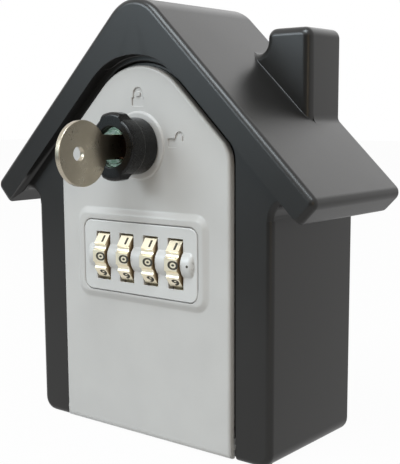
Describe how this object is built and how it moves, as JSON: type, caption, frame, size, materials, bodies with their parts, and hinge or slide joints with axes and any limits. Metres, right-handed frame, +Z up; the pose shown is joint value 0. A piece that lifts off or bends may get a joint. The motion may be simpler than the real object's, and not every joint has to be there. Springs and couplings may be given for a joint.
{
  "type": "combination key safe",
  "caption": "House-shaped key safe: black cast shell with gable roof and chimney, grey drop-down door with code wheels, and a turning knob that holds a key lock.",
  "frame": {"origin": "middle of the base face", "axes": "+X to the right seen from the front, -Y out of the door, +Z up"},
  "size_m": [0.1284, 0.0802, 0.1365],
  "materials": {
    "shell_black": "satin black coating over a zinc casting",
    "door_grey": "satin light grey paint",
    "black_plastic": "matt moulded",
    "knob_black": "satin black",
    "wheel_metal": "pale nickel-gold plating",
    "steel": "bright zinc plated",
    "zinc_plate": "stamped, zinc plated",
    "brass": "turned",
    "lock_chrome": "polished",
    "key_steel": "nickel plated, worn"
  },
  "bodies": {
    "house": {"house_shell": "shell_black", "hinge_pin": "steel"},
    "door": {"door_panel": "door_grey", "dial_plate": "door_grey", "barrel_bush": "brass", "lock_chassis": "zinc_plate", "chassis_screws": "steel", "detent_spring": "steel", "lock_cover": "black_plastic", "cover_screws": "steel", "bolt_spring_left": "steel", "bolt_spring_right": "steel"},
    "wheel_1": {"number_wheel_1": "wheel_metal"},
    "wheel_2": {"number_wheel_2": "wheel_metal"},
    "wheel_3": {"number_wheel_3": "wheel_metal"},
    "wheel_4": {"number_wheel_4": "wheel_metal"},
    "code_set": {"code_axle": "steel", "code_sleeve_1": "brass", "code_sleeve_2": "brass", "code_sleeve_3": "brass", "code_sleeve_4": "brass", "reset_slider": "black_plastic"},
    "bolt": {"bolt_plate": "zinc_plate"},
    "knob": {"knob": "knob_black", "lock_barrel": "lock_chrome", "drive_cam": "zinc_plate", "barrel_nut": "brass"},
    "plug": {"lock_plug": "lock_chrome"},
    "key": {"key": "key_steel"}
  },
  "joints": [
    {"name": "door_hinge", "type": "hinge", "parent": "house", "child": "door", "pos_m": [0, -0.0207, 0.0038], "axis": [1, 0, 0], "range_deg": [0, 95]},
    {"name": "knob_turn", "type": "hinge", "parent": "door", "child": "knob", "pos_m": [0, -0.024, 0.0928], "axis": [0, -1, 0], "range_deg": [0, 90]},
    {"name": "bolt_slide", "type": "slide", "parent": "door", "child": "bolt", "axis": [0, 0, 1], "range_m": [0, 0.004], "deforming": ["bolt_spring_left", "bolt_spring_right"]},
    {"name": "wheel_1_turn", "type": "hinge", "parent": "door", "child": "wheel_1", "pos_m": [-0.015, -0.018, 0.0578], "axis": [1, 0, 0], "continuous": true},
    {"name": "wheel_2_turn", "type": "hinge", "parent": "door", "child": "wheel_2", "pos_m": [-0.005, -0.018, 0.0578], "axis": [1, 0, 0], "continuous": true},
    {"name": "wheel_3_turn", "type": "hinge", "parent": "door", "child": "wheel_3", "pos_m": [0.005, -0.018, 0.0578], "axis": [1, 0, 0], "continuous": true},
    {"name": "wheel_4_turn", "type": "hinge", "parent": "door", "child": "wheel_4", "pos_m": [0.015, -0.018, 0.0578], "axis": [1, 0, 0], "continuous": true},
    {"name": "code_set_slide", "type": "slide", "parent": "door", "child": "code_set", "axis": [-1, 0, 0], "range_m": [0, 0.0015]},
    {"name": "plug_turn", "type": "hinge", "parent": "knob", "child": "plug", "pos_m": [0, -0.024, 0.0928], "axis": [0, -1, 0], "range_deg": [0, 90]},
    {"name": "key_pull", "type": "slide", "parent": "plug", "child": "key", "axis": [0, -1, 0], "range_m": [0, 0.022]}
  ],
  "couplings": [
    {"joint": "knob_turn", "follows": "bolt_slide", "rad_per_m": 392.7}
  ]
}
